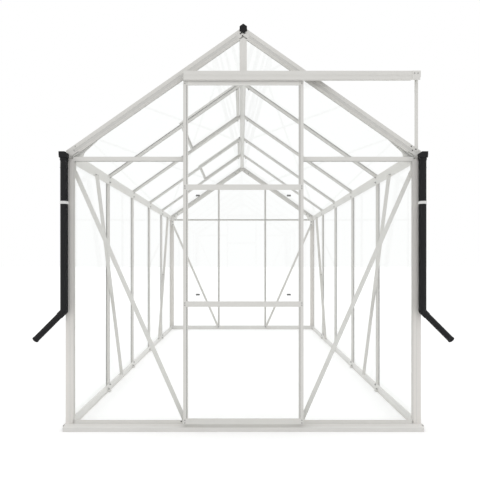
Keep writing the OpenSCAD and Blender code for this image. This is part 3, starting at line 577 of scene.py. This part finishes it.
def gable_nut_spots():
    """Inside both gables: at the corner plates, the braces, the bars and the rails."""
    corner_plate = [(0.930, 1.392), (0.930, 1.436), (0.893, FRONT_RAIL_Z)]
    along_rafter = [(x, under_roof(x, 0.030)) for x in (0.862, 0.900, 0.036, 0.085)]
    brace_ends = ((0.922, 1.400), (0.317, 0.030))
    brace_deep = 0.0251
    bar_head = (POST_X, under_roof(POST_X, REACH + 0.012))
    header_bolt = (POST_X - 0.02, HEADER_Z)
    rear_rail_bolt = (POST_X, REAR_RAIL_Z)
    spots = []
    for face, way in ((0.0, BACK), (RUN, FORWARD)):
        front = face == 0.0
        plate, brace, back = (face + way.y * deep
                              for deep in (INNER_FACE, brace_deep, BAR_BACK))
        for side in SIDES:
            holes = [(x, plate, z) for x, z in corner_plate + along_rafter]
            holes += [(x, brace, z) for x, z in brace_ends]
            holes += [(x, back, z) for x, z in (bar_head,
                                                header_bolt if front else rear_rail_bolt)]
            if not front:
                holes.append((POST_X, plate, BAR_FOOT_Z))
            spots += [(at(side * x, y, z), way) for x, y, z in holes]
    return spots


nut = nut_on_bolt()
gather("wall_nuts", copies(nut, wall_nut_spots()), zinc)
gather("gable_nuts", copies(nut, gable_nut_spots()), zinc)
hangers = [(at(side * (DOOR_HALF - 0.080), DOOR_FACE + 0.004, DOOR_HIGH + 0.0208), FORWARD)
           for side in SIDES]
gather("roller_nuts", copies(nut, hangers), zinc, body="door")
shelve(nut)

screw = pan_screw()


def screws(name, places, steel, body="house"):
    """Screw heads that look forward, at these places."""
    gather(name, copies(screw, [(at(*place), FORWARD) for place in places]), steel, body=body)


screws("apex_screws", ((-0.0157, 0, 2.1400), (-0.0108, 0, 2.1445), (0.0082, 0, 2.1420),
                       (-0.0043, 0, 2.1290)), dark_steel)
screws("eave_screws", ((0.9096, 0, 1.5302), (0.9161, 0, 1.5085), (0.9329, -0.003, 1.5134),
                       (-0.336, 0, 0.0405)), dark_steel)
screws("sleeve_screws", [(-0.9096, 0, 1.5302), (-0.9161, 0, 1.5085)]
       + [(RUNNER[1].x - inset, RUNNER_FACE - 0.002, 1.899) for inset in (0.012, 0.030)], zinc)
rail_ends = [DOOR_LOW + 0.007, DOOR_LOW + 0.021]
rail_ends += [rail + step for rail in DOOR_RAILS for step in (-0.006, 0.006)]
rail_ends += [DOOR_HIGH - 0.021, DOOR_HIGH - 0.007]
screws("door_screws", [(side * (DOOR_HALF - 0.009), DOOR_FACE, z)
                       for side in SIDES for z in rail_ends], zinc, body="door")
shelve(screw)

# ---- glazing seals and beads -------------------------------------------------------
SEAL_W, SEAL_H = 0.0026, 0.0014
BEAD_W, BEAD_H = 0.004, 0.0011
# Lanes along a rafter: how far in from the roof's outer face, and how wide.
RIB_LANES = ((0.0175, 0.004), (0.0375, 0.004))
# The lane of the thin strip of painted shade along each rafter.
SHADE_BAND_LANES = ((0.0275, 0.014),)


def wall_seals():
    """Upright seals on the side panes, along both edges of each bar's cap."""
    parts = []
    face = HALF_W - CAP_OUT + GLASS_OUT
    edges = [grid_y(i) + way * CAP_EDGE for i in range(1, BAYS) for way in SIDES]
    edges += [EDGE + CAP_EDGE, RUN - EDGE - CAP_EDGE]
    for side in SIDES:
        for y in edges:
            parts.append(strip(at(side * face, y, DECK), at(side * face, y, TROUGH - 0.002),
                               Vector((side, 0, 0)), SEAL_W, SEAL_H))
    return parts


def roof_seals():
    """Sloping seals on the roof panes; under a vent they start below it."""
    parts = []
    for side in SIDES:
        out = Vector((side * SLOPE_OUT.x, 0, SLOPE_OUT.z))
        for bay in range(1, BAYS + 1):
            vented = side < 0 and bay in VENT_BAYS
            top = VENT_LEN + 0.014 if vented else 0.030
            for y in (grid_y(bay - 1) + CAP_EDGE, grid_y(bay) - CAP_EDGE):
                parts.append(strip(on_slope(side, y, top, GLASS_OUT),
                                   on_slope(side, y, SLOPE_LEN - 0.002, GLASS_OUT),
                                   out, SEAL_W, SEAL_H))
    return parts


def gable_beads():
    """Snap-in beads on the gable panes along posts and rafters, and a seal along the bars."""
    width, height, chamfer = 0.008, 0.0022, 0.0004
    parts = []
    for face, way in GABLES:
        y = face - way.y * 0.0023  # the pane's outer face
        beside_post = HALF_W - EDGE - CAP_HALF - width / 2
        beside_bar = POST_X + (0.0095 if way is FORWARD else 0.012)
        for side in SIDES:
            parts.append(strip(at(side * beside_post, y, 0.0490),
                               at(side * beside_post, y, FRONT_RAIL_Z - 0.0112),
                               way, width, height, chamfer))
            low, high = (at(side * x, y, under_roof(x, REACH - width / 2))
                         for x in (0.893, 0.0195))
            parts.append(strip(low, high, way, width, height, chamfer))
            parts.append(strip(at(side * beside_bar, y, 0.05),
                               at(side * beside_bar, y, FRONT_RAIL_Z - 0.012),
                               way, SEAL_W, SEAL_H))
    return parts


def rafter_strips(lanes, height):
    """Strips along the outer faces of the gable rafters."""
    parts = []
    for face, way in GABLES:
        for side in SIDES:
            for inward, width in lanes:
                low, high = (at(side * x, face, under_roof(x, inward))
                             for x in (HALF_W - 0.045, 0.03))
                parts.append(strip(low, high, way, width, height, height * 0.4))
    return parts


def post_beads():
    """A rib up the middle of each outer face of the corner posts."""
    foot, head, inset = 0.03, TROUGH - 0.004, 0.024
    parts = []
    for side in SIDES:
        for face, way in GABLES:
            x, y = side * (HALF_W - inset), face - way.y * inset
            parts.append(strip(at(x, face, foot), at(x, face, head), way, BEAD_W, BEAD_H))
            parts.append(strip(at(side * HALF_W, y, foot), at(side * HALF_W, y, head),
                               Vector((side, 0, 0)), BEAD_W, BEAD_H))
    return parts


def runner_beads():
    """Two fine ribs along the runner's cover, its rolled bottom edge and its return."""
    low = RUNNER[0].z
    return [strip(at(RUNNER[0].x, y, z), at(RUNNER[1].x - 0.046, y, z), out, width, height)
            for y, z, out, width, height in (
                (RUNNER_FACE, 1.8925, FORWARD, 0.003, 0.0008),
                (RUNNER_FACE, 1.8870, FORWARD, 0.003, 0.0008),
                (RUNNER_FACE, low + 0.0025, FORWARD, 0.005, 0.0012),
                (-0.0485, low + 0.0012, DOWN, 0.013, 0.0014))]


def sill_beads():
    """Two ribs along the nose of the front step and along each side's drip."""
    step, drip, width, height = -0.038, HALF_W + 0.015, 0.003, 0.0009
    levels = (0.0175, 0.004)
    parts = [strip(at(-HALF_W, step, z), at(HALF_W, step, z), FORWARD, width, height)
             for z in levels]
    for side in SIDES:
        for z in levels:
            parts.append(strip(at(side * drip, 0.0, z), at(side * drip, RUN, z),
                               Vector((side, 0, 0)), width, height))
    return parts


gather("wall_seals", wall_seals(), grey_seal_painted_light)
gather("roof_seals", roof_seals(), grey_seal_painted_light)
gather("gable_beads", gable_beads(), bead_coat_painted_shade)
gather("rafter_ribs", rafter_strips(RIB_LANES, height=0.0016), powder_coat)
# Thin darker strips along the rafters: painted shade for their recessed band.
gather("rafter_painted_shade_bands", rafter_strips(SHADE_BAND_LANES, height=0.0006), rafter_band_shade)
gather("post_beads", post_beads(), powder_coat)
gather("runner_beads", runner_beads(), powder_coat)
gather("sill_beads", sill_beads(), sill_coat_painted_light)

# ---- door: brushes, dark lines of painted shade beside the panes, and clip pads --------
BRUSH_IN, SHADE_LINE_IN, CLIP_IN = 0.0169, 0.0188, 0.078  # in from the door's edges
END_RAIL, RAIL_HALF = 0.030, 0.0155  # how much of the panes' height the rails take
clip_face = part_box("door_clips")[0].y - FRONT
pane_ends = [DOOR_LOW + END_RAIL]
for rail in DOOR_RAILS:
    pane_ends += [rail - RAIL_HALF, rail + RAIL_HALF]
pane_ends.append(DOOR_HIGH - END_RAIL)
door_brushes, door_painted_shade_lines, clip_pads = [], [], []
for side in SIDES:
    x = side * (DOOR_HALF - BRUSH_IN)
    door_brushes.append(strip(at(x, DOOR_BACK, DOOR_LOW + 0.004),
                              at(x, DOOR_BACK, DOOR_HIGH - 0.012), BACK,
                              width=0.0092, height=0.0028))
    # Thin dark strips on the stiles beside the panes' edges: painted shade for the shaded step at
    # the glazing lips.
    x = side * (DOOR_HALF - SHADE_LINE_IN)
    for low, high in zip(pane_ends[::2], pane_ends[1::2]):
        door_painted_shade_lines.append(strip(at(x, DOOR_FACE + 0.001, low), at(x, DOOR_FACE + 0.001, high),
                                  FORWARD, width=0.0017, height=0.0007))
    x = side * (DOOR_HALF - CLIP_IN)
    for z in DOOR_CLIPS:
        clip_pads.append(strip(at(x - 0.008, clip_face, z), at(x + 0.008, clip_face, z),
                               FORWARD, width=0.006, height=0.0016, crown=0.0008))
gather("door_brushes", door_brushes, dark_brush_and_painted_shade, body="door")
gather("door_painted_shade_lines", door_painted_shade_lines, dark_brush_and_painted_shade, body="door")
gather("door_clip_pads", clip_pads, grey_plastic, body="door")

# ---- the runner's end stop -----------------------------------------------------------
stop_x = RUNNER[1].x - 0.0025
stop = strip(at(stop_x, -0.030, 1.8925), at(stop_x, -0.030, 1.9035), Vector((-1, 0, 0)),
             width=0.016, height=0.006, crown=0.002)
gather("runner_stop", [stop], black_plastic)

# ---- roof vents --------------------------------------------------------------------
HINGE_DOWN, HINGE_OUT = 0.0262, CAP_OUT + 0.0075
HINGE_R, HINGE_CAP_R, HINGE_CAP_LEN = 0.0045, 0.006, 0.004


def hinge_at(y):
    """A point of the vents' hinge line, on the left slope."""
    return on_slope(-1, y, HINGE_DOWN, HINGE_OUT)


hinges, hinge_caps = [], []
for bay in VENT_BAYS:
    low, high = grid_y(bay - 1) - 0.010, grid_y(bay) + 0.010
    hinges.append(rod(hinge_at(low), hinge_at(high), HINGE_R))
    for y in (low - HINGE_CAP_LEN, high):
        hinge_caps.append(rod(hinge_at(y), hinge_at(y + HINGE_CAP_LEN), HINGE_CAP_R))
gather("vent_hinges", hinges, powder_coat)
gather("vent_hinge_caps", hinge_caps, black_plastic)

# ---- rainwater goods ---------------------------------------------------------------
ELBOW_Z = 0.642
SPOUT_LEN = 0.212  # from the elbow to the collar at the spout's end
# Collars at the pipe's head: height above the ground, how tall and how far they stand out.
HEAD_COLLARS = ((1.446, 0.010, 0.0022), (1.405, 0.004, 0.0012))
collars = []
for side in SIDES:
    for z, height, over in HEAD_COLLARS:
        collars.append(ring(at(side * PIPE_X, PIPE_Y, z), UP, inner=PIPE_R - 0.0002,
                            outer=PIPE_R + over, height=height))
    elbow = at(side * PIPE_X, PIPE_Y, ELBOW_Z)
    slant = Vector((side, 0, -1)).normalized()
    collars.append(ring(elbow + slant * SPOUT_LEN, slant, inner=0.0163, outer=0.0178,
                        height=0.007))
gather("pipe_collars", collars, black_plastic)

# ---- studio ------------------------------------------------------------------------
AMBIENT, SHOWN = 0.8, 1.0  # how strongly the world lights the house, and how white it shows
FLOOR_COLOUR, FLOOR_GLOW = (0.86, 0.86, 0.86, 1.0), 0.24

cam_data = bpy.data.cameras.new("camera")
cam = bpy.data.objects.new("camera", cam_data)
bpy.context.scene.collection.objects.link(cam)
cam.location = (-0.0116, FRONT - 2.141, 0.907)
cam.rotation_euler = (math.radians(90), 0, 0)
cam_data.sensor_width = 36
cam_data.lens = 29.655
cam_data.shift_x = -0.0024
cam_data.shift_y = 0.0446
bpy.context.scene.camera = cam


def add_sun(name, azimuth, elevation, energy, spread=25):
    """A wide soft sun from this bearing, 0 being the front, that no pane mirrors."""
    data = bpy.data.lights.new(name, "SUN")
    data.energy = energy
    data.angle = math.radians(spread)
    lamp = bpy.data.objects.new(name, data)
    lamp.visible_glossy = False
    bpy.context.scene.collection.objects.link(lamp)
    turn, rise = math.radians(azimuth), math.radians(elevation)
    source = Vector((math.sin(turn) * math.cos(rise), -math.cos(turn) * math.cos(rise),
                     math.sin(rise)))
    lamp.rotation_euler = source.to_track_quat("Z", "Y").to_euler()


for name, azimuth, elevation, energy in (
        ("front_left_light", -35, 12, 0.06), ("front_right_light", 35, 12, 0.06),
        ("back_light", 175, 20, 0.4), ("left_light", -90, 28, 0.35),
        ("right_light", 90, 28, 0.35), ("top_light", 0, 82, 0.2)):
    add_sun(name, azimuth, elevation, energy)


def seen_rays(tree):
    """1 for the rays that show a background: straight, mirrored and through glass."""
    rays = tree.nodes.new("ShaderNodeLightPath")
    shows = math_node(tree, "MAXIMUM", rays.outputs["Is Camera Ray"],
                      rays.outputs["Is Glossy Ray"])
    shows = math_node(tree, "MAXIMUM", shows, rays.outputs["Is Transmission Ray"])
    direct = math_node(tree, "LESS_THAN", rays.outputs["Diffuse Depth"], 0.5)
    return math_node(tree, "MULTIPLY", shows, direct)


world = bpy.data.worlds.new("studio")
bpy.context.scene.world = world
world.use_nodes = True
tree = world.node_tree
ambient = tree.nodes["Background"]
shown = tree.nodes.new("ShaderNodeBackground")
for light, strength in ((ambient, AMBIENT), (shown, SHOWN)):
    light.inputs["Color"].default_value = WHITE
    light.inputs["Strength"].default_value = strength
mix = tree.nodes.new("ShaderNodeMixShader")
tree.links.new(seen_rays(tree), mix.inputs[0])
tree.links.new(ambient.outputs[0], mix.inputs[1])
tree.links.new(shown.outputs[0], mix.inputs[2])
tree.links.new(mix.outputs[0], tree.nodes["World Output"].inputs[0])

bpy.ops.object.select_all(action="DESELECT")
bpy.ops.mesh.primitive_plane_add(size=120, location=(0, 0, 0))
floor = bpy.context.object
floor.name = "floor"
floor_white = bpy.data.materials.new("floor_white")
floor_white.use_nodes = True
tree = floor_white.node_tree
tree.nodes.remove(tree.nodes["Principled BSDF"])
paint = tree.nodes.new("ShaderNodeBsdfDiffuse")
paint.inputs["Color"].default_value = FLOOR_COLOUR
glow = tree.nodes.new("ShaderNodeEmission")
glow.inputs["Color"].default_value = WHITE
strength = math_node(tree, "MULTIPLY", seen_rays(tree), FLOOR_GLOW)
tree.links.new(strength, glow.inputs["Strength"])
both = tree.nodes.new("ShaderNodeAddShader")
tree.links.new(paint.outputs[0], both.inputs[0])
tree.links.new(glow.outputs[0], both.inputs[1])
tree.links.new(both.outputs[0], tree.nodes["Material Output"].inputs[0])
floor.data.materials.append(floor_white)

bpy.context.scene.view_settings.view_transform = "Standard"
